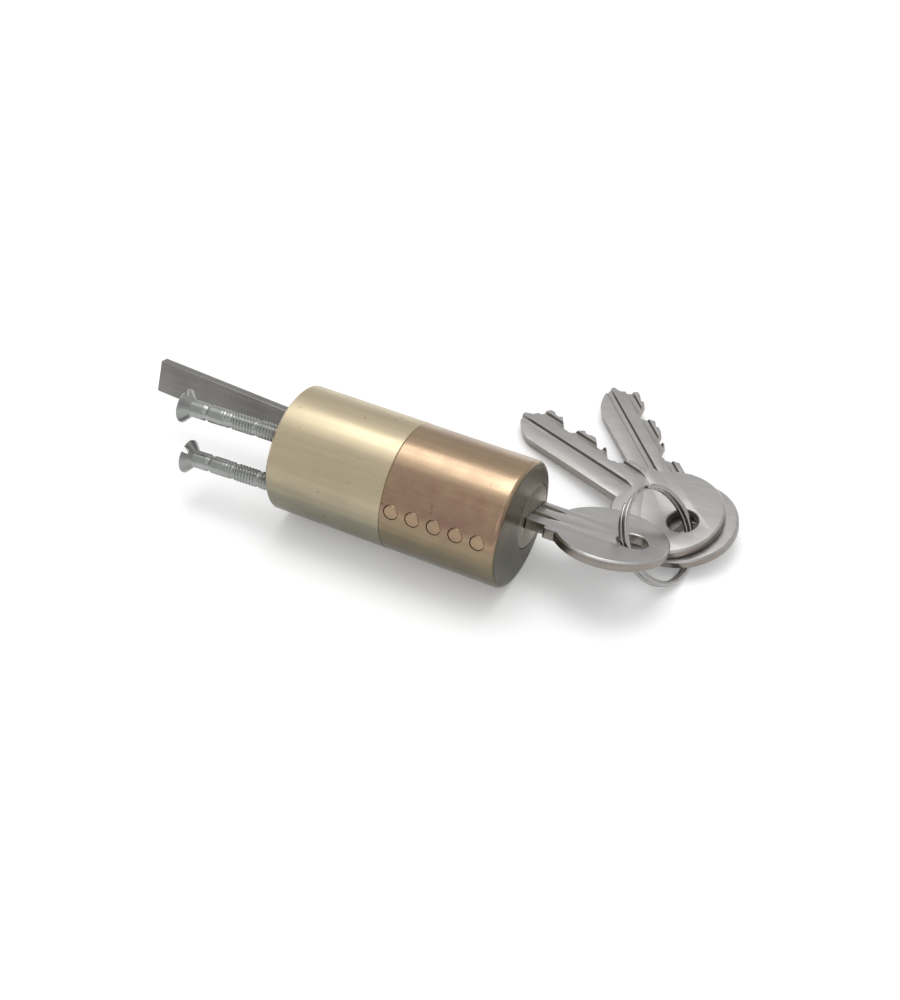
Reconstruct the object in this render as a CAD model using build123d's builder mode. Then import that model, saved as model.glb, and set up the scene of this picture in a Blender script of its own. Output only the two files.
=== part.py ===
from build123d import *
import os
from math import cos, radians, sin, sqrt, tan

# Round rim cylinder lock with an eccentric plug, lying on its side with a key in it.
# Two more keys hang with it on a split ring. All sizes are in millimetres.
# +X is the barrel's axis, towards the key, and +Z is up. The origin is the centre of the
# barrel's front face. The lock is turned about its axis, so its own directions are
# "spine", from the pins to the key's spine, and "side", square to the flat of the key.

# How the lock lies
LOCK_ROLL = 19.5
TAIL_LEAN = 2.95
LOOSE_KEY_FACE = Vector(0.1327, 0.0716, -0.9886)
LOOSE_KEY_HEADING = Vector(0.9169, -0.3877, 0.0950)
THIRD_KEY_TURN = 24.8
RING_FACE = Vector(-0.7733, 0.0729, -0.6299)
RING_START = Vector(-0.3254, -0.8983, 0.2953)

# Barrel
BARREL_RADIUS = 11.5
BARREL_LENGTH = 44.02
FRONT_LENGTH = 21.64
FRONT_UNDERSIZE = 0.05
FRONT_ROUND = 0.85
REAR_CHAMFER = 0.35
SEAM_CHAMFER = 0.12
WEB_THICKNESS = 1.5

# Plug
PLUG_RADIUS = 5.65
PLUG_HEAD_RADIUS = 5.95
PLUG_WALL = 1.0
PLUG_HEAD_LENGTH = 1.5
PLUG_CHAMFER = 0.15
PLUG_SHOULDER = 0.15
SPIGOT_LENGTH = 9.3
RUNNING_GAP = 0.05
END_FLOAT = 0.05
CLIP_THICKNESS = 0.7
CLIP_OVERLAP = 0.55
CLIP_CLEARANCE = 0.2
CLIP_GROOVE_DEPTH = 0.7
CLIP_OPENING = 90
CLIP_GAP = 0.02

# Tailpiece and its cross pin
TAIL_WIDTH = 6.2
TAIL_THICKNESS = 1.9
TAIL_LENGTH = 48.9
TAIL_NOSE = 1.45
TAIL_PIVOT_INSET = 1.9
TAIL_CORNER = 0.3
TAIL_EDGE = 0.2
TAIL_SIDE_GAP = 0.1
TAIL_NOSE_GAP = 0.55
TAIL_PIVOT_GAP = 0.06
CROSS_PIN_RADIUS = 0.8
CROSS_PIN_INSET = 0.15

# Pins, springs and the plugs that close their chambers
PIN_COUNT = 5
FIRST_PIN = 3.3
LAST_PIN_INSET = 2.14
PIN_RADIUS = 1.3
PIN_GAP = 0.075
PIN_CHAMFER = 0.25
PIN_POINT = 0.9
DRIVER_LENGTH = 4.0
CHAMBER_PLUG_LENGTH = 1.6
CHAMBER_PLUG_GAP = 0.01
CHAMBER_PLUG_CHAMFER = 0.2
CHAMBER_END_GAP = 0.4
SPRING_RADIUS = 0.95
SPRING_WIRE = 0.15
SPRING_TURNS = 6
SEAT_GAP = 0.02

# Keys
KEY_THICKNESS = 1.9
BLADE_HEIGHT = 8.4
BLADE_SHIFT = 0.85
BLADE_OUTSIDE = 4.1
KEYWAY_GAP = 0.12
CUT_DEPTHS = (2.5, 1.3, 0.3, 2.1, 0.4)
CUT_FLAT = 0.9
CUT_HALF_ANGLE = 50
NOSE_BEYOND_PINS = 5.5
NOSE_LENGTH = 6.0
NOSE_MIDDLE = (2.6, 2.9)
NOSE_TOP = 0.3
NOSE_BOTTOM = -0.5
NOSE_STEP = (1.6, -1.2)
NOSE_RAMP_END = 3.4
GROOVE_WIDTH = 1.3
GROOVE_FLOOR = 0.8
GROOVE_DEPTH = 0.55
UPPER_GROOVES = (2.4, -1.0)
LOWER_GROOVES = (0.7, -2.7)
GROOVE_RUN_OUT = 2.4
BOW_RADIUS = 10.2
BOW_SETBACK = 9.8
BOW_SHIFT = 0.9
BOW_EDGE = 0.35
KEY_HOLE_RADIUS = 2.75
KEY_HOLE_SHIFT = 3.9
HOLE_EDGE = 0.2
SHOULDER_LENGTH = 2.6
SHOULDER_RISE = 0.9
SHOULDER_ROUND = 0.4
SHOULDER_SETBACK = 0.9

# Split ring
RING_RADIUS = 8.5
RING_WIRE = 0.44
RING_LAYER_GAP = 0.05
RING_JOG_PLACE = 75
RING_JOG_ANGLE = 28
RING_END_GAP = 6
RING_IN_FIRST_HOLE = (-0.5, -1.35)
RING_AT_SECOND_KEY = 176.0
RING_IN_SECOND_HOLE = (-0.4, -1.2)
KEY_STACK_GAP = 0.15
THIRD_HOLE_FROM_SECOND = (1.6, 0.4)

# Fixing screws
SCREW_INSET = 4.7
SCREW_SIDE = 4.75
SCREW_RADIUS = 1.6
SCREW_CLEARANCE = 0.3
SCREW_THREAD_GAP = 0.03
SCREW_LENGTH = 50.0
SCREW_HEAD_PLACES = (-64.3, -62.7)
SCREW_HEAD_RADIUS = 3.05
SCREW_HEAD_RIM = 0.3
SCREW_SLOT_WIDTH = 1.0
SCREW_SLOT_DEPTH = 1.0
SCREW_POINT = 0.5
NOTCH_PITCH = 5.0
NOTCH_DEPTH = 0.45
NOTCH_WIDTH = 0.9
NOTCH_COUNT = 7
SCREW_TIP_ROOM = 0.66

# Sizes that follow from the ones above
front_radius = BARREL_RADIUS - FRONT_UNDERSIZE
plug_offset = BARREL_RADIUS - PLUG_HEAD_RADIUS - PLUG_WALL
bore_radius = PLUG_RADIUS + RUNNING_GAP
chamber_radius = PIN_RADIUS + PIN_GAP
plug_shoulder = FRONT_LENGTH - END_FLOAT
web_back = FRONT_LENGTH + WEB_THICKNESS
plug_end = plug_shoulder + SPIGOT_LENGTH
spigot_radius = PLUG_RADIUS - PLUG_SHOULDER
clip_front = web_back + END_FLOAT
clip_radius = spigot_radius + RUNNING_GAP + CLIP_OVERLAP
rear_bore_radius = clip_radius + CLIP_CLEARANCE
groove_radius = spigot_radius - CLIP_GROOVE_DEPTH
tail_pivot = plug_end - TAIL_PIVOT_INSET
pin_pitch = (FRONT_LENGTH - FIRST_PIN - LAST_PIN_INSET) / (PIN_COUNT - 1)
pin_places = [FIRST_PIN + pin_pitch * i for i in range(PIN_COUNT)]
blade_line = plug_offset + BLADE_SHIFT
cut_edge = blade_line - BLADE_HEIGHT / 2
shear_line = plug_offset - bore_radius
driver_top = shear_line - DRIVER_LENGTH
chamber_mouth = -sqrt(front_radius**2 - chamber_radius**2)
chamber_plug_floor = chamber_mouth + CHAMBER_PLUG_LENGTH
deepest_cut = max(CUT_DEPTHS)
key_reach = pin_places[-1] + NOSE_BEYOND_PINS
keyway_length = tail_pivot - TAIL_NOSE
blade_length = key_reach + BLADE_OUTSIDE
bow_centre = blade_length + BOW_SETBACK
hole_centre = bow_centre + KEY_HOLE_SHIFT
layer_offset = RING_WIRE + RING_LAYER_GAP / 2
screw_spine = SCREW_INSET - BARREL_RADIUS
tapped_hole_depth = FRONT_LENGTH + max(SCREW_HEAD_PLACES) + SCREW_LENGTH + SCREW_TIP_ROOM

# The lock's own directions in space
ALONG = Vector(1, 0, 0)
SPINE = Vector(0, cos(radians(LOCK_ROLL)), -sin(radians(LOCK_ROLL)))
SIDE = Vector(0, sin(radians(LOCK_ROLL)), cos(radians(LOCK_ROLL)))


def place(x, spine, side=0.0):
    """A point given along the barrel, towards the spine and to the side."""
    return ALONG * x + SPINE * spine + SIDE * side


def across(x, spine=0.0, side=0.0):
    """A plane square to the barrel: its X is the spine direction and its Y the side."""
    return Plane(origin=place(x, spine, side), x_dir=SPINE, z_dir=ALONG)


def outwards(x, spine):
    """A plane square to a pin that faces away from the plug."""
    return Plane(origin=place(x, spine), x_dir=ALONG, z_dir=-SPINE)


def save(part, label):
    part.label = label
    export_step(part, f"parts/{label}.step")


def blade_section():
    """The key blade's section in the sketch plane: X is its height and Y its thickness."""
    Rectangle(BLADE_HEIGHT, KEY_THICKNESS)
    for faces, groove_places in ((1, UPPER_GROOVES), (-1, LOWER_GROOVES)):
        for groove in groove_places:
            groove_section(groove, faces, Mode.SUBTRACT)


def groove_section(height, face, mode):
    """A groove's section: a flat floor with flanks that open towards the face."""
    surface = face * KEY_THICKNESS / 2
    floor = surface - face * GROOVE_DEPTH
    Polygon(
        (height - GROOVE_WIDTH / 2, surface),
        (height - GROOVE_FLOOR / 2, floor),
        (height + GROOVE_FLOOR / 2, floor),
        (height + GROOVE_WIDTH / 2, surface),
        align=None,
        mode=mode,
    )


def make_front_barrel():
    """Front part of the barrel, with the plug's bore, the pin chambers and tapped holes."""
    with BuildPart() as front:
        with BuildSketch(across(0)):
            Circle(front_radius)
        extrude(amount=-FRONT_LENGTH)
        fillet(front.edges().filter_by(GeomType.CIRCLE).sort_by(Axis.X)[-1], radius=FRONT_ROUND)
        chamfer(front.edges().filter_by(GeomType.CIRCLE).sort_by(Axis.X)[0], length=SEAM_CHAMFER)
        with BuildSketch(across(0, plug_offset)):
            Circle(bore_radius)
        extrude(amount=-FRONT_LENGTH, mode=Mode.SUBTRACT)
        with BuildSketch(across(0, plug_offset)):
            Circle(PLUG_HEAD_RADIUS + RUNNING_GAP)
        extrude(amount=-PLUG_HEAD_LENGTH, mode=Mode.SUBTRACT)
        for x in pin_places:
            with BuildSketch(outwards(-x, plug_offset)):
                Circle(chamber_radius)
            extrude(amount=plug_offset + BARREL_RADIUS, mode=Mode.SUBTRACT)
        for side in (SCREW_SIDE, -SCREW_SIDE):
            with BuildSketch(across(-FRONT_LENGTH, screw_spine, side)):
                Circle(SCREW_RADIUS + SCREW_THREAD_GAP)
            extrude(amount=tapped_hole_depth, mode=Mode.SUBTRACT)
    save(front.part, "front_barrel")


def make_rear_barrel():
    """Rear part of the barrel: a web behind the plug, and a wide bore for the tail."""
    with BuildPart() as rear:
        with BuildSketch(across(-FRONT_LENGTH)):
            Circle(BARREL_RADIUS)
        extrude(amount=FRONT_LENGTH - BARREL_LENGTH)
        chamfer(rear.edges().filter_by(GeomType.CIRCLE).sort_by(Axis.X)[0], length=REAR_CHAMFER)
        chamfer(rear.edges().filter_by(GeomType.CIRCLE).sort_by(Axis.X)[-1], length=SEAM_CHAMFER)
        with BuildSketch(across(-FRONT_LENGTH, plug_offset)):
            Circle(spigot_radius + RUNNING_GAP)
        extrude(amount=-WEB_THICKNESS, mode=Mode.SUBTRACT)
        with BuildSketch(across(-web_back, plug_offset)):
            Circle(rear_bore_radius)
        extrude(amount=web_back - BARREL_LENGTH, mode=Mode.SUBTRACT)
        for side in (SCREW_SIDE, -SCREW_SIDE):
            with BuildSketch(across(-FRONT_LENGTH, screw_spine, side)):
                Circle(SCREW_RADIUS + SCREW_CLEARANCE)
            extrude(amount=FRONT_LENGTH - BARREL_LENGTH, mode=Mode.SUBTRACT)
    save(rear.part, "rear_barrel")


def make_plug():
    """The turning plug: head, keyway, five chambers, clip groove and the tail's slot."""
    with BuildPart() as plug:
        with BuildSketch(across(0, plug_offset)):
            Circle(PLUG_HEAD_RADIUS)
        extrude(amount=-PLUG_HEAD_LENGTH)
        chamfer(plug.edges().filter_by(GeomType.CIRCLE).sort_by(Axis.X)[-1], length=PLUG_CHAMFER)
        with BuildSketch(across(-PLUG_HEAD_LENGTH, plug_offset)):
            Circle(PLUG_RADIUS)
        extrude(amount=PLUG_HEAD_LENGTH - plug_shoulder)
        with BuildSketch(across(-plug_shoulder, plug_offset)):
            Circle(spigot_radius)
        extrude(amount=-SPIGOT_LENGTH)
        with BuildSketch(across(-clip_front, plug_offset)):
            Circle(spigot_radius + RUNNING_GAP)
            Circle(groove_radius, mode=Mode.SUBTRACT)
        extrude(amount=-CLIP_THICKNESS - CLIP_GAP, mode=Mode.SUBTRACT)
        with BuildSketch(across(0, blade_line)):
            blade_section()
            offset(amount=KEYWAY_GAP, kind=Kind.INTERSECTION)
        extrude(amount=-keyway_length, mode=Mode.SUBTRACT)
        chamber_floor = cut_edge + deepest_cut + CHAMBER_END_GAP
        for x in pin_places:
            with BuildSketch(outwards(-x, chamber_floor)):
                Circle(chamber_radius)
            extrude(amount=chamber_floor + BARREL_RADIUS, mode=Mode.SUBTRACT)
        slot_length = plug_end - tail_pivot + TAIL_NOSE + TAIL_NOSE_GAP
        with BuildSketch(across(-plug_end, plug_offset)):
            Rectangle(TAIL_THICKNESS + 2 * TAIL_SIDE_GAP, 3 * spigot_radius)
        extrude(amount=slot_length, mode=Mode.SUBTRACT)
        with BuildSketch(outwards(-tail_pivot, plug_offset)):
            Circle(CROSS_PIN_RADIUS)
        extrude(amount=2 * spigot_radius, both=True, mode=Mode.SUBTRACT)
    save(plug.part, "plug")


def make_plug_clip():
    """Open spring clip that sits in the plug's groove and bears on the web."""
    with BuildPart() as clip:
        with BuildSketch(across(-clip_front, plug_offset)):
            Circle(clip_radius)
            Circle(groove_radius + CLIP_GAP, mode=Mode.SUBTRACT)
            reach = 2 * clip_radius
            spread = reach * tan(radians(CLIP_OPENING / 2))
            Polygon((0, 0), (reach, -spread), (reach, spread), align=None, mode=Mode.SUBTRACT)
        extrude(amount=-CLIP_THICKNESS)
    save(clip.part, "plug_clip")


def make_tail_cross_pin():
    """Pin through the plug's cheeks, on which the tailpiece rocks."""
    length = 2 * (spigot_radius - CROSS_PIN_INSET)
    with BuildPart() as pin:
        with BuildSketch(outwards(-tail_pivot, plug_offset + length / 2)):
            Circle(CROSS_PIN_RADIUS)
        extrude(amount=length)
        chamfer(pin.edges().filter_by(GeomType.CIRCLE), length=CROSS_PIN_INSET)
    save(pin.part, "tail_cross_pin")


def make_tailpiece():
    """Flat bar from the plug to the latch behind the door. It leans on its pin."""
    lean = radians(TAIL_LEAN)
    back = -ALONG * cos(lean) + SIDE * sin(lean)
    flat = Plane(origin=place(-tail_pivot, plug_offset), x_dir=back, z_dir=SPINE)
    with BuildPart() as tail:
        with BuildSketch(flat.offset(-TAIL_THICKNESS / 2)):
            with Locations((TAIL_LENGTH / 2 - TAIL_NOSE, 0)):
                Rectangle(TAIL_LENGTH, TAIL_WIDTH)
            fillet(vertices(), radius=TAIL_CORNER)
            Circle(CROSS_PIN_RADIUS + TAIL_PIVOT_GAP, mode=Mode.SUBTRACT)
        extrude(amount=TAIL_THICKNESS)
        faces = tail.faces().sort_by(Axis(flat.origin, SPINE))
        outer_edges = faces[0].outer_wire().edges() + faces[-1].outer_wire().edges()
        chamfer(outer_edges, length=TAIL_EDGE)
    save(tail.part, "tailpiece")


def make_pin_stack(number, x, cut_depth):
    """One chamber: key pin, driver pin, spring and the disc that closes the chamber."""
    key_pin_tip = cut_edge + cut_depth - SEAT_GAP
    flat_radius = PIN_RADIUS - PIN_CHAMFER
    key_pin_top = plug_offset - sqrt(PLUG_RADIUS**2 - flat_radius**2)
    with BuildPart() as key_pin:
        with BuildSketch(outwards(-x, key_pin_tip)):
            Circle(PIN_RADIUS)
        extrude(amount=key_pin_tip - key_pin_top)
        ends = key_pin.edges().filter_by(GeomType.CIRCLE).sort_by(Axis(place(-x, 0), SPINE))
        chamfer(ends[0], length=PIN_CHAMFER)
        ends = key_pin.edges().filter_by(GeomType.CIRCLE).sort_by(Axis(place(-x, 0), SPINE))
        chamfer(ends[-1], length=PIN_POINT)
    save(key_pin.part, f"key_pin_{number}")

    with BuildPart() as driver:
        with BuildSketch(outwards(-x, shear_line)):
            Circle(PIN_RADIUS)
        extrude(amount=DRIVER_LENGTH)
        chamfer(driver.edges().filter_by(GeomType.CIRCLE), length=PIN_CHAMFER)
    save(driver.part, f"driver_pin_{number}")

    free_length = driver_top - chamber_plug_floor - 2 * SEAT_GAP
    climb = free_length - 2 * SPRING_WIRE
    with BuildPart() as spring:
        with BuildLine():
            coil = Helix(
                pitch=climb / SPRING_TURNS,
                height=climb,
                radius=SPRING_RADIUS,
                center=place(-x, driver_top - SEAT_GAP - SPRING_WIRE),
                direction=-SPINE,
            )
        with BuildSketch(Plane(origin=coil @ 0, z_dir=coil % 0)):
            Circle(SPRING_WIRE)
        sweep(is_frenet=True)
    save(spring.part, f"pin_spring_{number}")

    with BuildPart() as disc:
        with BuildSketch(outwards(-x, chamber_plug_floor)):
            Circle(chamber_radius - CHAMBER_PLUG_GAP)
        extrude(amount=BARREL_RADIUS)
        inner = disc.edges().filter_by(GeomType.CIRCLE).sort_by(Axis(place(-x, 0), SPINE))[-1]
        chamfer(inner, length=CHAMBER_PLUG_CHAMFER)
        with BuildSketch(across(0)):
            Circle(front_radius)
        extrude(amount=-FRONT_LENGTH, mode=Mode.INTERSECT)
    save(disc.part, f"chamber_plug_{number}")


def make_key(tip, label):
    """A flat key. In the plane tip, X runs to the bow and Y to the blade's plain edge."""
    half = BLADE_HEIGHT / 2
    flat = KEY_THICKNESS / 2
    with BuildPart() as key:
        with BuildSketch(tip.offset(-flat)):
            with BuildLine():
                ThreePointArc((NOSE_LENGTH, half), NOSE_MIDDLE, (0, NOSE_TOP))
                Polyline(
                    (0, NOSE_TOP),
                    (0, NOSE_BOTTOM),
                    NOSE_STEP,
                    (NOSE_RAMP_END, -half),
                    (bow_centre, -half),
                    (bow_centre, half),
                    (NOSE_LENGTH, half),
                )
            make_face()
            with Locations((bow_centre, BOW_SHIFT)):
                Circle(BOW_RADIUS)
            with Locations((blade_length + SHOULDER_SETBACK, -half - SHOULDER_RISE / 2)):
                RectangleRounded(SHOULDER_LENGTH, SHOULDER_RISE + SHOULDER_ROUND, SHOULDER_ROUND)
        extrude(amount=KEY_THICKNESS)
        rims = key.edges().filter_by(GeomType.CIRCLE).filter_by(lambda e: e.radius == BOW_RADIUS)
        chamfer(rims, length=BOW_EDGE)
        with BuildSketch(tip.offset(-flat)):
            with Locations((hole_centre, BOW_SHIFT)):
                Circle(KEY_HOLE_RADIUS)
        extrude(amount=KEY_THICKNESS, mode=Mode.SUBTRACT)
        eyes = key.edges().filter_by(GeomType.CIRCLE).filter_by(lambda e: e.radius == KEY_HOLE_RADIUS)
        chamfer(eyes, length=HOLE_EDGE)
        for x, depth in zip(pin_places, CUT_DEPTHS):
            cut_key(tip, key_reach - x, depth)
        for face, groove_places in ((1, UPPER_GROOVES), (-1, LOWER_GROOVES)):
            for height in groove_places:
                mill_groove(tip, height, face)
    save(key.part, label)


def cut_key(tip, place_on_blade, depth):
    """One pin's cut in the blade's edge, with a flat root and sloping flanks."""
    half = BLADE_HEIGHT / 2
    root = -half + depth
    mouth = -half - depth
    flank = (root - mouth) * tan(radians(CUT_HALF_ANGLE))
    with BuildSketch(tip.offset(-KEY_THICKNESS / 2)) as cut:
        Polygon(
            (place_on_blade - CUT_FLAT / 2, root),
            (place_on_blade + CUT_FLAT / 2, root),
            (place_on_blade + CUT_FLAT / 2 + flank, mouth),
            (place_on_blade - CUT_FLAT / 2 - flank, mouth),
            align=None,
        )
    extrude(cut.sketch, amount=KEY_THICKNESS, mode=Mode.SUBTRACT)


def mill_groove(tip, height, face):
    """One groove along the blade, which ends in a point on the bow."""
    groove_end = blade_length - GROOVE_RUN_OUT / 2
    section = Plane(origin=tip.origin, x_dir=tip.y_dir, z_dir=tip.x_dir)
    with BuildSketch(section) as groove:
        groove_section(height, face, Mode.ADD)
    extrude(groove.sketch, amount=groove_end, mode=Mode.SUBTRACT)
    with BuildSketch(section.offset(groove_end)) as mouth:
        groove_section(height, face, Mode.ADD)
    point = tip.from_local_coords((groove_end + GROOVE_RUN_OUT, height, face * KEY_THICKNESS / 2))
    loft(sections=[mouth.sketch.face(), Vertex(*point)], mode=Mode.SUBTRACT)


def ring_plane():
    """The split ring's plane: its X points at the first key's hole, its Z is the ring's axis."""
    seat = place(
        hole_centre - key_reach + RING_IN_FIRST_HOLE[0],
        blade_line + BOW_SHIFT + RING_IN_FIRST_HOLE[1],
    )
    centre = seat - RING_START * RING_RADIUS
    return Plane(origin=centre, x_dir=RING_START, z_dir=RING_FACE)


def loose_key_tips():
    """The tip planes of the second and third keys, from where the ring meets their holes."""
    turn = radians(RING_AT_SECOND_KEY)
    wire = ring_plane().from_local_coords((RING_RADIUS * cos(turn), RING_RADIUS * sin(turn), 0))
    second = Plane(origin=wire, x_dir=LOOSE_KEY_HEADING, z_dir=LOOSE_KEY_FACE)
    back_to_tip = (-hole_centre - RING_IN_SECOND_HOLE[0], -BOW_SHIFT - RING_IN_SECOND_HOLE[1], 0)
    second.origin = second.from_local_coords(back_to_tip)
    third_hole = second.from_local_coords(
        (
            hole_centre + THIRD_HOLE_FROM_SECOND[0],
            BOW_SHIFT + THIRD_HOLE_FROM_SECOND[1],
            KEY_THICKNESS + KEY_STACK_GAP,
        )
    )
    turn = radians(THIRD_KEY_TURN)
    heading = second.x_dir * cos(turn) + second.y_dir * sin(turn)
    third = Plane(origin=third_hole, x_dir=heading, z_dir=second.z_dir)
    third.origin = third.from_local_coords((-hole_centre, -BOW_SHIFT, 0))
    return second, third


def make_split_ring():
    """One wire in two flat turns, side by side, with a short jog from one to the other."""
    low = -layer_offset
    high = layer_offset

    def on_ring(angle, height):
        turn = radians(RING_JOG_PLACE + angle)
        return (RING_RADIUS * cos(turn), RING_RADIUS * sin(turn), height)

    def along_ring(angle):
        turn = radians(RING_JOG_PLACE + angle)
        return (-sin(turn), cos(turn), 0)

    half_jog = RING_JOG_ANGLE / 2
    start = half_jog + RING_END_GAP - 360
    finish = 360 - half_jog - RING_END_GAP
    with BuildPart() as ring:
        with BuildLine(ring_plane()) as wire:
            ThreePointArc(
                on_ring(start, low),
                on_ring((start - half_jog) / 2, low),
                on_ring(-half_jog, low),
            )
            Spline(
                on_ring(-half_jog, low),
                on_ring(0, 0),
                on_ring(half_jog, high),
                tangents=(along_ring(-half_jog), along_ring(half_jog)),
            )
            ThreePointArc(
                on_ring(half_jog, high),
                on_ring((half_jog + finish) / 2, high),
                on_ring(finish, high),
            )
        path = wire.wire()
        with BuildSketch(Plane(origin=path @ 0, z_dir=path % 0)):
            Circle(RING_WIRE)
        sweep(path=path)
    save(ring.part, "split_ring")


def make_fixing_screws():
    """Two long countersunk screws with break-off notches, put in from behind."""
    cone = SCREW_HEAD_RADIUS - SCREW_RADIUS
    with BuildPart() as screws:
        for head, side in zip(SCREW_HEAD_PLACES, (SCREW_SIDE, -SCREW_SIDE)):
            tip = head + SCREW_LENGTH
            axis = Axis(place(head, screw_spine, side), ALONG)
            with BuildSketch(Plane(origin=place(head, screw_spine, side), x_dir=ALONG, z_dir=SIDE)):
                with BuildLine():
                    Polyline(
                        (0, 0),
                        (0, SCREW_HEAD_RADIUS),
                        (SCREW_HEAD_RIM, SCREW_HEAD_RADIUS),
                        (SCREW_HEAD_RIM + cone, SCREW_RADIUS),
                        (SCREW_LENGTH - SCREW_POINT, SCREW_RADIUS),
                        (SCREW_LENGTH, SCREW_RADIUS - SCREW_POINT),
                        (SCREW_LENGTH, 0),
                        close=True,
                    )
                make_face()
                for i in range(1, NOTCH_COUNT + 1):
                    notch = NOTCH_PITCH * i
                    Polygon(
                        (notch - NOTCH_WIDTH / 2, SCREW_RADIUS),
                        (notch, SCREW_RADIUS - NOTCH_DEPTH),
                        (notch + NOTCH_WIDTH / 2, SCREW_RADIUS),
                        align=None,
                        mode=Mode.SUBTRACT,
                    )
            revolve(axis=axis)
            with BuildSketch(across(head, screw_spine, side)):
                Rectangle(3 * SCREW_HEAD_RADIUS, SCREW_SLOT_WIDTH)
            extrude(amount=SCREW_SLOT_DEPTH, mode=Mode.SUBTRACT)
    save(screws.part, "fixing_screws")


os.makedirs("parts", exist_ok=True)
make_front_barrel()
make_rear_barrel()
make_plug()
make_plug_clip()
make_tail_cross_pin()
make_tailpiece()
for number, (x, depth) in enumerate(zip(pin_places, CUT_DEPTHS), start=1):
    make_pin_stack(number, x, depth)
first_tip = Plane(origin=place(-key_reach, blade_line), x_dir=ALONG, z_dir=SIDE)
second_tip, third_tip = loose_key_tips()
make_key(first_tip, "inserted_key")
make_key(second_tip, "second_key")
make_key(third_tip, "third_key")
make_split_ring()
make_fixing_screws()
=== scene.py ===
from math import asin, cos, pi, radians, sin

import bmesh
import bpy
import numpy as np
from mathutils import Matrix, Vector


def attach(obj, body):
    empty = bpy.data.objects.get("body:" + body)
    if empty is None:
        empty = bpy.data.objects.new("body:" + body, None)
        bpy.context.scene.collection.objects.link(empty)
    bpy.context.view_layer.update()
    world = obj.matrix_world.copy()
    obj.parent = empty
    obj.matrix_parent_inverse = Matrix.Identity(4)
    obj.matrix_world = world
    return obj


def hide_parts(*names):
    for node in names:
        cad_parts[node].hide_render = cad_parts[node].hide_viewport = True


# Round rim cylinder lock: brass barrel in two parts, steel tail, zinc fixing screws, and
# three nickel keys on a split ring. Sizes are in metres. +X is the barrel's axis towards
# the key and +Z is up. The lock lies turned about its axis, so "spine" and "side" are its
# own directions: from the pins to the key's spine, and square to the flat of the key.

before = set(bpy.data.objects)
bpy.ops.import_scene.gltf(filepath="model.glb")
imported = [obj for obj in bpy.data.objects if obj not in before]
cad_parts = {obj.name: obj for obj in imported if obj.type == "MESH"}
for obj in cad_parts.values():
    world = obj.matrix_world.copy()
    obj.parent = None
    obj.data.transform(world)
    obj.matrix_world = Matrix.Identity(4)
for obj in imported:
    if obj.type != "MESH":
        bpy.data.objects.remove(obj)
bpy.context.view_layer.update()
MM = 0.001

# The lock's own directions
LOCK_ROLL = radians(19.5)
ALONG = np.array([1.0, 0.0, 0.0])
SPINE = np.array([0.0, cos(LOCK_ROLL), -sin(LOCK_ROLL)])
SIDE = np.array([0.0, sin(LOCK_ROLL), cos(LOCK_ROLL)])

# Barrel and the discs that close its pin chambers
FRONT_RADIUS = 11.45 * MM
DISC_RADIUS = 1.29 * MM
DISC_PROUD = 0.14 * MM
DISC_EDGE = 0.26 * MM
DISC_SHIFT = (0.055 * MM, 0.045 * MM)
DISC_DEPTH = 1.2 * MM
DISC_DISH = 0.45
DISC_CROWN_STEPS = 14
DISC_EDGE_STEPS = 7
DISC_TURN_STEPS = 48
FIRST_PIN = 3.3 * MM
PIN_PITCH = 4.05 * MM
PIN_COUNT = 5

# Fixing screws
SCREW_SPINE = -6.8 * MM
SCREW_SIDE = 4.75 * MM
SCREW_HEAD_PLACES = (-63.7 * MM, -62.2 * MM)
SCREW_LENGTH = 49.3 * MM
SCREW_RADIUS = 1.6 * MM
SCREW_HEAD_RADIUS = 3.05 * MM
SCREW_HEAD_RIM = 0.3 * MM
SCREW_CONE = SCREW_HEAD_RADIUS - SCREW_RADIUS
SCREW_TURN_STEPS = 40
SCREW_TIP = 0.4 * MM
SCREW_TIP_DROPS = (0.3 * MM, 0.5 * MM)
THREAD_PITCH = 0.6 * MM
THREAD_DEPTH = 0.2 * MM
THREAD_RUN_IN = 6.0 * MM
THREAD_FADE = 2.0 * MM
THREAD_STEPS = 7
NOTCH_PITCH = 5.0 * MM
NOTCH_DEPTH = 0.2 * MM
NOTCH_HALF_WIDTH = 0.45 * MM
NOTCH_COUNT = 7
NOTCH_SHOULDER = 1.25
SLOT_HALF_WIDTH = 0.5 * MM
SLOT_DEPTH = 1.0 * MM
SLOT_WALL_ANGLE = 0.004
SLOT_WALL_STEP = 0.02 * MM
SLOT_TURNS = (radians(-82), radians(-46))

# How the screws' free ends sag: a part of the gap in their holes, then a slight bend
FRONT_BARREL_BACK = -21.64 * MM
REAR_BARREL_BACK = -44.02 * MM
DROOP_IN_HOLE = 0.25 * MM
DROOP_SLOPE = 0.034
DROOP_BEND = 3.0 * MM
DROOP_WAY = np.array([0.0, -0.65, -0.76])

# How a CAD copy is merged before its edges are rounded
MERGE_DISTANCE = 0.002 * MM
FLAT_ANGLE = radians(0.8)
EDGE_ANGLE = radians(32)
KEY_ROUND = 0.14 * MM
TAIL_ROUND = 0.1 * MM
PLUG_ROUND = 0.05 * MM

# Split ring
RING_SEAT_ALONG = 17.3 * MM
RING_SEAT_SPINE = 4.95 * MM
RING_AXIS = np.array([-0.7733, 0.0729, -0.6299])
RING_START = np.array([-0.3254, -0.8983, 0.2953])
RING_RADIUS = 8.5 * MM
RING_JOG_PLACE = radians(75)
RING_JOG_ANGLE = radians(28)
RING_END_GAP = radians(6)
RING_LAYER = 0.465 * MM
RING_HALF_WIDTH = 0.44 * MM
RING_HALF_HEIGHT = 0.42 * MM
RING_SQUARENESS = 0.6
RING_TAPER = 0.35 * MM
RING_TAPER_FLOOR = 0.02
RING_STEPS = 420
RING_SECTION_STEPS = 20

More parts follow.
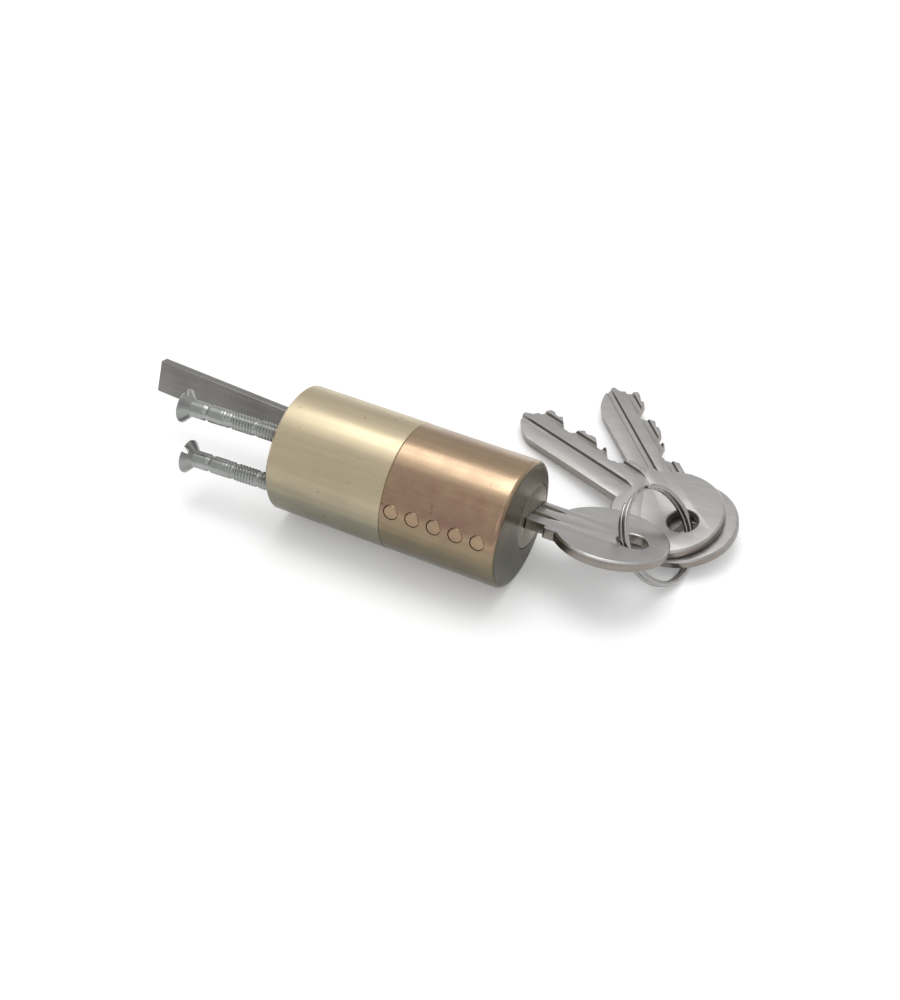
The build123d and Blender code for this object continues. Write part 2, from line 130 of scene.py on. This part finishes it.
# Where the finishes and the painted shade change. The pin row's strip is found by its direction from
# the axis.
# Heights between which the painted shade on the low side grows from none to full
LOW_SHADE_TOP = 6.0 * MM
LOW_SHADE_BOTTOM = -1.0 * MM
# The end face's painted shade grows from behind the rim's front to full at the face
RIM_BACK = -0.3 * MM
RIM_FRONT = -0.08 * MM
# How far a key's face leans before its duller edge and painted shade start, and where they are full
KEY_FLAT_FACING = 0.62
KEY_EDGE_FACING = 0.42
STAIN_BORDER = 0.06
STAIN_STRENGTH = 0.8
STRIP_WAY = (0.0, -0.79, 0.61)
STRIP_START = 10.1 * MM
STRIP_FULL = 11.1 * MM
STRIP_MOTTLING = 330.0

# The grain of turned and drawn metal, and its cloudy tarnish
GRAIN = (40.0, 900.0, 900.0)
GRAIN_RELIEF = 0.05
GRAIN_RELIEF_DEPTH = 0.1 * MM
CLOUD_SIZE = 130.0
CLOUD_SMOOTHER = 0.04
CLOUD_ROUGHER = 0.07


def unit(v):
    return v / np.linalg.norm(v)


def place(x, spine, side):
    """A point from its distances along the barrel, towards the spine and to the side."""
    x, spine, side = np.broadcast_arrays(x, spine, side)
    return x[..., None] * ALONG + spine[..., None] * SPINE + side[..., None] * SIDE


def mesh_piece(name, points, quads, triangles):
    """A mesh object at the origin from its points and faces, shaded smooth."""
    mesh = bpy.data.meshes.new(name)
    faces = [tuple(map(int, f)) for f in quads] + [tuple(map(int, f)) for f in triangles]
    mesh.from_pydata([tuple(p) for p in points], [], faces)
    mesh.validate()
    mesh.polygons.foreach_set("use_smooth", [True] * len(mesh.polygons))
    mesh.update()
    piece = bpy.data.objects.new(name, mesh)
    bpy.context.scene.collection.objects.link(piece)
    return piece


def grid_faces(rows, columns):
    """Quads between neighbouring rows and columns of a grid, closed round its columns."""
    i = np.arange(rows - 1)[:, None]
    j = np.arange(columns)[None, :]
    k = (j + 1) % columns
    here = i * columns
    above = here + columns
    return np.stack([here + j, here + k, above + k, above + j], -1).reshape(-1, 4)


def capped_tube(name, rings):
    """A closed skin over rings of points (rows x columns x 3), with a fan at each end."""
    rows, columns, _ = rings.shape
    points = np.concatenate([rings.reshape(-1, 3), rings[0].mean(0)[None], rings[-1].mean(0)[None]])
    quads = grid_faces(rows, columns)
    j = np.arange(columns)
    k = (j + 1) % columns
    start_cap = np.stack([np.full(columns, rows * columns), k, j], -1)
    last = (rows - 1) * columns
    end_cap = np.stack([np.full(columns, rows * columns + 1), last + j, last + k], -1)
    return mesh_piece(name, points, quads, np.concatenate([start_cap, end_cap]))


def recalculate_normals(piece):
    """Turns every face of a closed mesh outwards."""
    work = bmesh.new()
    work.from_mesh(piece.data)
    bmesh.ops.recalc_face_normals(work, faces=work.faces)
    work.to_mesh(piece.data)
    work.free()
    piece.data.update()


def node_material(name):
    """A material with its Principled shader, and a function that adds and links nodes."""
    material = bpy.data.materials.new(name)
    material.use_nodes = True
    tree = material.node_tree
    shader = tree.nodes["Principled BSDF"]

    def add(kind, inputs=(), **settings):
        node = tree.nodes.new(kind)
        for key, value in settings.items():
            setattr(node, key, value)
        for key, value in dict(inputs).items():
            if isinstance(value, bpy.types.NodeSocket):
                tree.links.new(value, node.inputs[key])
            else:
                node.inputs[key].default_value = value
        return node

    return material, shader, tree, add


def colour_ramp(add, factor, stops):
    """A ramp from a factor to colours: stops are pairs of a place and a colour."""
    ramp = add("ShaderNodeValToRGB", {"Fac": factor})
    elements = ramp.color_ramp.elements
    while len(elements) < len(stops):
        elements.new(0.5)
    for element, (where, colour) in zip(elements, stops):
        element.position = where
        element.color = (*colour, 1.0)
    return ramp.outputs["Color"]


def darken(add, tree, colour, mask, tint):
    """The colour times a tint where the mask is 1, and the colour itself where it is 0."""
    layer = add("ShaderNodeMix", data_type="RGBA", blend_type="MULTIPLY")
    tree.links.new(mask, layer.inputs[0])
    tree.links.new(colour, layer.inputs[6])
    layer.inputs[7].default_value = (*tint, 1.0)
    return layer.outputs[2]


def ramp_up(add, value, low, high, top=1.0):
    """A value mapped to 0 at low and to top at high, and held beyond them."""
    step = add("ShaderNodeMapRange", {"Value": value, "From Min": low, "From Max": high,
                                      "To Min": 0.0, "To Max": top})
    return step.outputs[0]


def painted_low_shade(tint):
    """Painted shade that gets stronger towards the side that lies on the table, standing in for the
    darker ground which that side reflects.
    """
    def layer(add, tree, coordinates, colour):
        height = add("ShaderNodeSeparateXYZ", {0: coordinates}).outputs["Z"]
        return darken(add, tree, colour, ramp_up(add, height, LOW_SHADE_TOP, LOW_SHADE_BOTTOM), tint)
    return layer


def painted_end_face_shade(tint):
    """Painted shade that darkens the end face, in front of the barrel's rounded rim."""
    def layer(add, tree, coordinates, colour):
        along = add("ShaderNodeSeparateXYZ", {0: coordinates}).outputs["X"]
        return darken(add, tree, colour, ramp_up(add, along, RIM_BACK, RIM_FRONT), tint)
    return layer


def sheared_edges_and_painted_shade(tint):
    """Duller sheared edges on a stamped key, together with painted shade on every face that leans from
    the flats, groove flanks and rounded edges too: the mask is how far a face leans from the key's
    flats.
    """
    def layer(add, tree, coordinates, colour):
        normal = add("ShaderNodeTexCoord").outputs["Normal"]
        facing = add("ShaderNodeSeparateXYZ", {0: normal}).outputs["Z"]
        upright = add("ShaderNodeMath", {0: facing}, operation="ABSOLUTE").outputs[0]
        edges = ramp_up(add, upright, KEY_FLAT_FACING, KEY_EDGE_FACING)
        return darken(add, tree, colour, edges, tint)
    return layer


def stains(tint, scale, rarity):
    """Small dark spots where a fine noise rises above a level."""
    def layer(add, tree, coordinates, colour):
        noise = add("ShaderNodeTexNoise", {"Vector": coordinates, "Scale": scale, "Detail": 3.0})
        spots = ramp_up(add, noise.outputs["Fac"], rarity, rarity + STAIN_BORDER, STAIN_STRENGTH)
        return darken(add, tree, colour, spots, tint)
    return layer


def pin_row(tint):
    """A mottled strip between the highlight and the discs, where handling has reddened the brass."""
    def layer(add, tree, coordinates, colour):
        reach = add("ShaderNodeVectorMath", {0: coordinates, 1: STRIP_WAY}, operation="DOT_PRODUCT")
        zone = ramp_up(add, reach.outputs["Value"], STRIP_START, STRIP_FULL)
        noise = add("ShaderNodeTexNoise", {"Vector": coordinates, "Scale": STRIP_MOTTLING,
                                           "Detail": 4.0, "Roughness": 0.6})
        patch = ramp_up(add, noise.outputs["Fac"], 0.25, 0.65)
        both = add("ShaderNodeMath", {0: zone, 1: patch}, operation="MULTIPLY")
        return darken(add, tree, colour, both.outputs[0], tint)
    return layer


def brushed_metal(name, light, dark, tarnish, roughness, tarnish_amount, layers=()):
    """Satin metal: fine lines along X, broad cloudy tarnish and a roughness that follows the clouds."""
    material, shader, tree, add = node_material(name)
    coordinates = add("ShaderNodeTexCoord").outputs["Object"]
    stretched = add("ShaderNodeMapping", {"Vector": coordinates, "Scale": GRAIN})
    lines = add("ShaderNodeTexNoise", {"Vector": stretched.outputs[0], "Scale": 1.0,
                                       "Detail": 6.0, "Roughness": 0.6})
    clouds = add("ShaderNodeTexNoise", {"Vector": coordinates, "Scale": CLOUD_SIZE,
                                        "Detail": 8.0, "Roughness": 0.62})
    tone = colour_ramp(add, lines.outputs["Fac"], ((0.3, dark), (0.7, light)))
    veil = ramp_up(add, clouds.outputs["Fac"], 0.42, 0.72, tarnish_amount)
    mixed = add("ShaderNodeMix", data_type="RGBA")
    tree.links.new(veil, mixed.inputs[0])
    tree.links.new(tone, mixed.inputs[6])
    mixed.inputs[7].default_value = (*tarnish, 1.0)
    colour = mixed.outputs[2]
    for layer in layers:
        colour = layer(add, tree, coordinates, colour)
    tree.links.new(colour, shader.inputs["Base Color"])
    rough = add("ShaderNodeMapRange", {"Value": clouds.outputs["Fac"], "From Min": 0.3, "From Max": 0.7,
                                       "To Min": roughness - CLOUD_SMOOTHER,
                                       "To Max": roughness + CLOUD_ROUGHER})
    tree.links.new(rough.outputs[0], shader.inputs["Roughness"])
    relief = add("ShaderNodeBump", {"Height": lines.outputs["Fac"], "Strength": GRAIN_RELIEF,
                                    "Distance": GRAIN_RELIEF_DEPTH})
    tree.links.new(relief.outputs[0], shader.inputs["Normal"])
    shader.inputs["Metallic"].default_value = 1.0
    return material


# Each finish: its light and dark grain, its tarnish, its roughness and its share of tarnish
FINISHES = {
    "front_brass": ((0.42, 0.305, 0.20), (0.33, 0.24, 0.155), (0.29, 0.20, 0.15), 0.24, 0.6),
    "rear_brass": ((0.57, 0.485, 0.33), (0.49, 0.415, 0.285), (0.43, 0.36, 0.25), 0.32, 0.4),
    "plug_brass": ((0.34, 0.30, 0.24), (0.26, 0.23, 0.18), (0.19, 0.165, 0.13), 0.34, 0.5),
    "disc_brass": ((0.42, 0.30, 0.20), (0.34, 0.235, 0.155), (0.27, 0.175, 0.12), 0.30, 0.5),
    "pin_brass": ((0.75, 0.58, 0.30), (0.66, 0.50, 0.25), (0.50, 0.36, 0.18), 0.25, 0.3),
    "key_nickel": ((0.47, 0.46, 0.45), (0.40, 0.39, 0.38), (0.36, 0.345, 0.325), 0.30, 0.5),
    "ring_nickel": ((0.47, 0.46, 0.45), (0.38, 0.37, 0.36), (0.30, 0.29, 0.27), 0.24, 0.4),
    "tail_steel": ((0.27, 0.262, 0.25), (0.21, 0.202, 0.19), (0.17, 0.162, 0.15), 0.42, 0.6),
    "zinc_plate": ((0.39, 0.40, 0.39), (0.30, 0.31, 0.30), (0.22, 0.225, 0.215), 0.28, 0.7),
    "spring_steel": ((0.55, 0.55, 0.56), (0.45, 0.45, 0.46), (0.35, 0.34, 0.33), 0.28, 0.4),
}
# Layers over each finish: real stains and the pin row's mottling, and painted shade towards the low
# side, on the barrel's end face and on the key's leaning faces beside their duller sheared edges
FINISH_AND_PAINTED_SHADE_LAYERS = {
    "front_brass": (pin_row((0.86, 0.74, 0.80)), painted_low_shade((0.46, 0.54, 0.54)),
                    painted_end_face_shade((0.44, 0.49, 0.46)), stains((0.5, 0.42, 0.38), 700.0, 0.70)),
    "rear_brass": (painted_low_shade((0.42, 0.46, 0.50)), stains((0.6, 0.48, 0.36), 420.0, 0.70)),
    "disc_brass": (painted_low_shade((0.7, 0.7, 0.7)),),
    "key_nickel": (sheared_edges_and_painted_shade((0.62, 0.57, 0.53)),),
}
MATERIALS = {name: brushed_metal(name, *look, layers=FINISH_AND_PAINTED_SHADE_LAYERS.get(name, ()))
             for name, look in FINISHES.items()}
NODE_FINISH = {
    "front_barrel": "front_brass",
    "rear_barrel": "rear_brass",
    "plug": "plug_brass",
    "plug_clip": "spring_steel",
    "tail_cross_pin": "tail_steel",
    "tailpiece": "tail_steel",
    "inserted_key": "key_nickel",
    "second_key": "key_nickel",
    "third_key": "key_nickel",
    "split_ring": "ring_nickel",
    "fixing_screws": "zinc_plate",
    "chamber_plug": "disc_brass",
    "key_pin": "pin_brass",
    "driver_pin": "pin_brass",
    "pin_spring": "spring_steel",
}


def finish_of(node):
    """A node's finish by its name, or by its name without the number of the pin."""
    return NODE_FINISH.get(node) or NODE_FINISH[node.rsplit("_", 1)[0]]


for node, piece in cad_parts.items():
    piece.data.materials.clear()
    piece.data.materials.append(MATERIALS[finish_of(node)])


def dress(piece, body, finish, *nodes):
    """Gives a new piece its finish and its body, and hides the CAD nodes that it stands in for."""
    piece.data.materials.append(MATERIALS[finish])
    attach(piece, body)
    if nodes:
        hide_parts(*nodes)


def make_split_ring():
    """Two flat turns of wire: a rounded section carried round, with a jog between layers.

    The wire's angle runs once over both turns. Its height goes from the lower layer to the
    upper one by a smooth step over the jog, and both ends stop in a rounded taper."""
    axis = unit(RING_AXIS)
    toward_key = unit(RING_START)
    across = np.cross(axis, toward_key)
    centre = place(RING_SEAT_ALONG, RING_SEAT_SPINE, 0.0) - RING_RADIUS * toward_key
    half_jog = RING_JOG_ANGLE / 2
    start = half_jog + RING_END_GAP - 2 * pi
    finish = 2 * pi - half_jog - RING_END_GAP
    angle = np.linspace(start, finish, RING_STEPS)
    t = np.clip((angle + half_jog) / RING_JOG_ANGLE, 0, 1)
    height = RING_LAYER * (2 * t * t * (3 - 2 * t) - 1)
    turn = RING_JOG_PLACE + angle
    radial = np.cos(turn)[:, None] * toward_key + np.sin(turn)[:, None] * across
    middle = centre + RING_RADIUS * radial + height[:, None] * axis
    arc = (angle - start) * RING_RADIUS
    to_end = np.minimum(arc, arc[-1] - arc)
    short = 1 - np.clip(to_end / RING_TAPER, 0, 1)
    taper = np.sqrt(np.clip(1 - short ** 2, RING_TAPER_FLOOR, 1))
    section = np.linspace(0, 2 * pi, RING_SECTION_STEPS, endpoint=False)
    c = np.sign(np.cos(section)) * np.abs(np.cos(section)) ** RING_SQUARENESS
    s = np.sign(np.sin(section)) * np.abs(np.sin(section)) ** RING_SQUARENESS
    rings = (
        middle[:, None]
        + (taper[:, None] * RING_HALF_WIDTH * c)[..., None] * radial[:, None]
        + (taper[:, None] * RING_HALF_HEIGHT * s)[..., None] * axis
    )
    ring = capped_tube("split_ring_wire", rings)
    recalculate_normals(ring)
    dress(ring, "ring", "ring_nickel", "split_ring")


def screw_droop(x):
    """How far a screw's middle line sags: a part of its hole's gap, then a bent free end."""
    inside = np.clip((FRONT_BARREL_BACK - x) / (FRONT_BARREL_BACK - REAR_BARREL_BACK), 0, 1)
    outside = np.clip(REAR_BARREL_BACK - x, 0, None)
    bend = outside ** 2 / (outside + DROOP_BEND)
    slope_at_face = DROOP_IN_HOLE / (FRONT_BARREL_BACK - REAR_BARREL_BACK)
    return DROOP_IN_HOLE * inside + slope_at_face * outside + (DROOP_SLOPE - slope_at_face) * bend


def screw_head(turns):
    """The head's distance along, towards the spine and to the side, at each row and angle.

    The rows go from the middle of the face out to the rim and down the cone. On the face a
    point outside the slot keeps to its own side of it, and in the slot the points lie on
    its floor, with the side distance of the rim, so that the slot's walls are straight."""
    rows = np.array([0.0, 0.0, 0.0, 0.0, 0.06 * MM, SCREW_HEAD_RIM, SLOT_DEPTH - SLOT_WALL_STEP,
                     SLOT_DEPTH, SCREW_HEAD_RIM + 0.75 * SCREW_CONE])
    share = np.array([0.03, 0.35, 0.7, 0.975, 1.0, 1.0, 1.0, 1.0, 1.0])[:, None]
    level = np.repeat(rows[:, None], len(turns), 1)
    rim_side = SCREW_HEAD_RADIUS * np.sin(turns)[None]
    on_cone = SCREW_HEAD_RADIUS - np.clip(level - SCREW_HEAD_RIM, 0, None)
    past_slot = np.clip(np.abs(rim_side) - SLOT_HALF_WIDTH, 0, None)
    face_side = np.sign(rim_side) * (np.abs(rim_side) - (1 - share) * past_slot)
    below_face = level > 0.05 * MM
    side = np.where(below_face, on_cone * np.sin(turns), face_side)
    spine = np.where(below_face, on_cone * np.cos(turns), share * SCREW_HEAD_RADIUS * np.cos(turns))
    cut = (np.abs(rim_side) < SLOT_HALF_WIDTH) & (level < SLOT_DEPTH)
    floor_radius = SCREW_HEAD_RADIUS - SLOT_DEPTH + SCREW_HEAD_RIM
    floor_reach = np.sqrt(np.clip(floor_radius ** 2 - rim_side ** 2, 0, None)) * share
    side = np.where(cut, rim_side, side)
    spine = np.where(cut, np.sign(np.cos(turns)) * floor_reach, spine)
    return np.where(cut, SLOT_DEPTH, level), spine, side


def screw_shank(turns):
    """The shank's distance along, towards the spine and to the side, at each row and angle.

    The radius is a triangle wave along a helix: the thread's phase is the distance along
    the shank minus the angle's share of the pitch. The break-off notches pull it in."""
    rows = np.arange(SCREW_HEAD_RIM + SCREW_CONE, SCREW_LENGTH - SCREW_TIP, THREAD_PITCH / THREAD_STEPS)
    z, phi = np.meshgrid(rows, turns, indexing="ij")
    phase = (z / THREAD_PITCH - phi / (2 * pi)) % 1.0
    ridge = 1 - np.abs(2 * phase - 1)
    run_in = np.clip((z - SCREW_HEAD_RIM - SCREW_CONE - THREAD_RUN_IN) / THREAD_FADE, 0, 1)
    radius = SCREW_RADIUS - THREAD_DEPTH * (1 - ridge) * run_in
    for i in range(1, NOTCH_COUNT + 1):
        off = np.abs(z - NOTCH_PITCH * i) / NOTCH_HALF_WIDTH
        radius = np.minimum(radius, SCREW_RADIUS - NOTCH_DEPTH * np.clip(NOTCH_SHOULDER - off, 0, 1))
    return z, radius * np.cos(phi), radius * np.sin(phi)


def screw_tip(turns):
    """Two small rings that round the screw's end off."""
    rows = np.array([SCREW_LENGTH - SCREW_TIP / 2, SCREW_LENGTH])
    radius = SCREW_RADIUS - np.array(SCREW_TIP_DROPS)[:, None]
    return np.repeat(rows[:, None], len(turns), 1), radius * np.cos(turns), radius * np.sin(turns)


def make_fixing_screw(name, head, side, slot_turn):
    """A countersunk screw: rings of its head, shank and tip, turned by its slot's angle.

    Two columns of points stand close together at each edge of the slot, so that its walls
    are steep. The rings' middles follow the sag."""
    slot_edge = asin(SLOT_HALF_WIDTH / SCREW_HEAD_RADIUS)
    edges = np.array([slot_edge - SLOT_WALL_ANGLE, slot_edge + SLOT_WALL_ANGLE])
    even = np.linspace(0, 2 * pi, SCREW_TURN_STEPS, endpoint=False)
    turns = np.sort(np.concatenate([even, edges, pi - edges, pi + edges, 2 * pi - edges]))
    parts = (screw_head(turns), screw_shank(turns), screw_tip(turns))
    along, out_spine, out_side = (np.concatenate(rows) for rows in zip(*parts))
    x = head + along
    c, s = cos(slot_turn), sin(slot_turn)
    middle = place(x, SCREW_SPINE, side) + screw_droop(x)[..., None] * DROOP_WAY
    rings = middle + place(0 * x, c * out_spine - s * out_side, s * out_spine + c * out_side)
    screw = capped_tube(name, rings)
    recalculate_normals(screw)
    screw.data.set_sharp_from_angle(angle=EDGE_ANGLE)
    dress(screw, "barrel", "zinc_plate", "fixing_screws")


def make_disc(number):
    """A chamber disc: a low crown with a rounded edge, bent to the barrel's round side.

    Its profile is a height above the barrel's skin by radius: a shallow dish, a rim that
    stands a little proud, and a rounded drop into the chamber."""
    node = f"chamber_plug_{number}"
    x0 = -(FIRST_PIN + PIN_PITCH * (number - 1))
    radii = np.linspace(0.02, 1, DISC_CROWN_STEPS) * (DISC_RADIUS - DISC_EDGE)
    edge = np.linspace(0, pi / 2, DISC_EDGE_STEPS)[1:]
    r = np.concatenate([radii, DISC_RADIUS - DISC_EDGE + DISC_EDGE * np.sin(edge), [DISC_RADIUS]])
    lift = DISC_PROUD * (1 - DISC_DISH * (1 - (radii / radii[-1]) ** 2))
    h = np.concatenate([lift, DISC_PROUD - DISC_EDGE * (1 - np.cos(edge)), [-DISC_DEPTH]])
    turns = np.linspace(0, 2 * pi, DISC_TURN_STEPS, endpoint=False)
    rr, phi = np.meshgrid(r, turns, indexing="ij")
    side = DISC_SHIFT[1] + rr * np.sin(phi)
    depth = np.sqrt(FRONT_RADIUS ** 2 - side ** 2) + h[:, None]
    rings = place(x0 + DISC_SHIFT[0] + rr * np.cos(phi), -depth, side)
    disc = capped_tube(f"chamber_disc_{number}", rings)
    recalculate_normals(disc)
    dress(disc, "barrel", "disc_brass", node)


def soften(node, name, width, finish, body):
    """A merged copy of a CAD node whose sharp edges get a small round, as a stamped part has."""
    work = bmesh.new()
    work.from_mesh(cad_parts[node].data)
    bmesh.ops.remove_doubles(work, verts=work.verts, dist=MERGE_DISTANCE)
    bmesh.ops.dissolve_limit(work, angle_limit=FLAT_ANGLE, verts=work.verts, edges=work.edges)
    mesh = bpy.data.meshes.new(name)
    work.to_mesh(mesh)
    work.free()
    mesh.materials.clear()
    mesh.polygons.foreach_set("use_smooth", [True] * len(mesh.polygons))
    piece = bpy.data.objects.new(name, mesh)
    bpy.context.scene.collection.objects.link(piece)
    bevel = piece.modifiers.new("rounded edges", "BEVEL")
    bevel.width = width
    bevel.segments = 3
    bevel.limit_method = "ANGLE"
    bevel.angle_limit = EDGE_ANGLE
    bevel.harden_normals = True
    bevel.miter_outer = "MITER_ARC"
    dress(piece, body, finish, node)


for key, body in (("inserted_key", "plug"), ("second_key", "second_key"), ("third_key", "third_key")):
    soften(key, key + "_stamping", KEY_ROUND, "key_nickel", body)
soften("tailpiece", "tail_bar", TAIL_ROUND, "tail_steel", "tail")
soften("plug", "plug_turning", PLUG_ROUND, "plug_brass", "plug")
make_split_ring()
make_fixing_screw("upper_fixing_screw", SCREW_HEAD_PLACES[0], SCREW_SIDE, SLOT_TURNS[0])
make_fixing_screw("lower_fixing_screw", SCREW_HEAD_PLACES[1], -SCREW_SIDE, SLOT_TURNS[1])
for number in range(1, PIN_COUNT + 1):
    make_disc(number)

# Camera: where the photograph was taken from
CAMERA_PLACE = np.array([84.77, -193.33, 207.67]) * MM
CAMERA_AZIMUTH = radians(27.0)
CAMERA_ELEVATION = radians(43.74)
CAMERA_LENS = 62.715

# Floor and studio. The shades go from straight down to straight up, and the front gap from
# behind the camera to the far side, where a darker patch shows in the barrel's sides.
FLOOR_HEIGHT = -11.5 * MM
FLOOR_HALF_SIZE = 3.0
FLOOR_GLOW = 0.15
STUDIO_STRENGTH = 1.5
STUDIO_FRONT_GAP = ((0.0, 1.0), (0.15, 1.0), (0.275, 0.82), (0.38, 0.64), (0.42, 0.64), (0.46, 1.0))
STUDIO_SHADES = ((0.0, 0.3), (0.5, 0.45), (0.57, 0.48), (0.72, 0.5), (0.83, 0.54),
                 (0.90, 0.58), (0.945, 0.75), (0.97, 1.0))

camera_data = bpy.data.cameras.new("camera")
camera_data.lens = CAMERA_LENS
camera_data.clip_start = 0.01
camera = bpy.data.objects.new("camera", camera_data)
bpy.context.scene.collection.objects.link(camera)
back = Vector((sin(CAMERA_AZIMUTH) * cos(CAMERA_ELEVATION),
               -cos(CAMERA_AZIMUTH) * cos(CAMERA_ELEVATION),
               sin(CAMERA_ELEVATION)))
camera.location = Vector(CAMERA_PLACE)
camera.rotation_mode = "QUATERNION"
camera.rotation_quaternion = back.to_track_quat("Z", "Y")
bpy.context.scene.camera = camera


def make_floor():
    """A wide pale floor that the camera and reflections see as near white."""
    half = FLOOR_HALF_SIZE
    mesh = bpy.data.meshes.new("floor")
    corners = [(-half, -half), (half, -half), (half, half), (-half, half)]
    mesh.from_pydata([(x, y, FLOOR_HEIGHT) for x, y in corners], [], [(0, 1, 2, 3)])
    floor = bpy.data.objects.new("floor", mesh)
    bpy.context.scene.collection.objects.link(floor)
    material, shader, tree, add = node_material("floor")
    shader.inputs["Base Color"].default_value = (0.9, 0.9, 0.9, 1.0)
    shader.inputs["Roughness"].default_value = 0.9
    shader.inputs["Emission Color"].default_value = (1.0, 1.0, 1.0, 1.0)
    rays = add("ShaderNodeLightPath")
    seen = rays.outputs["Is Camera Ray"]
    for ray in ("Is Glossy Ray", "Is Transmission Ray"):
        seen = add("ShaderNodeMath", {0: seen, 1: rays.outputs[ray]}, operation="ADD").outputs[0]
    glow = add("ShaderNodeMath", {0: seen, 1: FLOOR_GLOW}, operation="MULTIPLY")
    tree.links.new(glow.outputs[0], shader.inputs["Emission Strength"])
    floor.data.materials.append(material)


def make_light(name, location, size, power):
    """A white rectangular lamp that faces the origin."""
    data = bpy.data.lights.new(name, "AREA")
    data.shape = "RECTANGLE"
    data.size, data.size_y = size
    data.energy = power
    lamp = bpy.data.objects.new(name, data)
    bpy.context.scene.collection.objects.link(lamp)
    lamp.location = location
    lamp.rotation_mode = "QUATERNION"
    lamp.rotation_quaternion = (-Vector(location)).to_track_quat("-Z", "Y")


make_floor()
make_light("overhead_light", (-0.12, 0.22, 0.8), (0.45, 0.45), 2.0)
make_light("front_light", (0.35, -0.75, 0.55), (0.6, 0.6), 0.5)


def make_studio():
    """A grey surround by height, times a gap of shade in front of the lock."""
    world = bpy.data.worlds.new("studio")
    bpy.context.scene.world = world
    world.use_nodes = True
    tree = world.node_tree
    sky = tree.nodes["Background"]
    way = tree.nodes.new("ShaderNodeTexCoord")
    parts = tree.nodes.new("ShaderNodeSeparateXYZ")
    tree.links.new(way.outputs["Generated"], parts.inputs[0])

    def studio_ramp(part, shades):
        """Grey by one part of the view direction, from -1 at the ramp's start to 1 at its end."""
        half = tree.nodes.new("ShaderNodeMapRange")
        half.inputs["From Min"].default_value = -1.0
        tree.links.new(parts.outputs[part], half.inputs["Value"])
        ramp = tree.nodes.new("ShaderNodeValToRGB")
        stops = ramp.color_ramp.elements
        while len(stops) < len(shades):
            stops.new(0.5)
        for stop, (where, shade) in zip(stops, shades):
            stop.position = where
            stop.color = (shade, shade, shade, 1.0)
        tree.links.new(half.outputs[0], ramp.inputs["Fac"])
        return ramp.outputs["Color"]

    product = tree.nodes.new("ShaderNodeMix")
    product.data_type = "RGBA"
    product.blend_type = "MULTIPLY"
    product.inputs[0].default_value = 1.0
    tree.links.new(studio_ramp("Z", STUDIO_SHADES), product.inputs[6])
    tree.links.new(studio_ramp("Y", STUDIO_FRONT_GAP), product.inputs[7])
    tree.links.new(product.outputs[2], sky.inputs["Color"])
    sky.inputs["Strength"].default_value = STUDIO_STRENGTH


make_studio()
bpy.context.scene.view_settings.view_transform = "Standard"
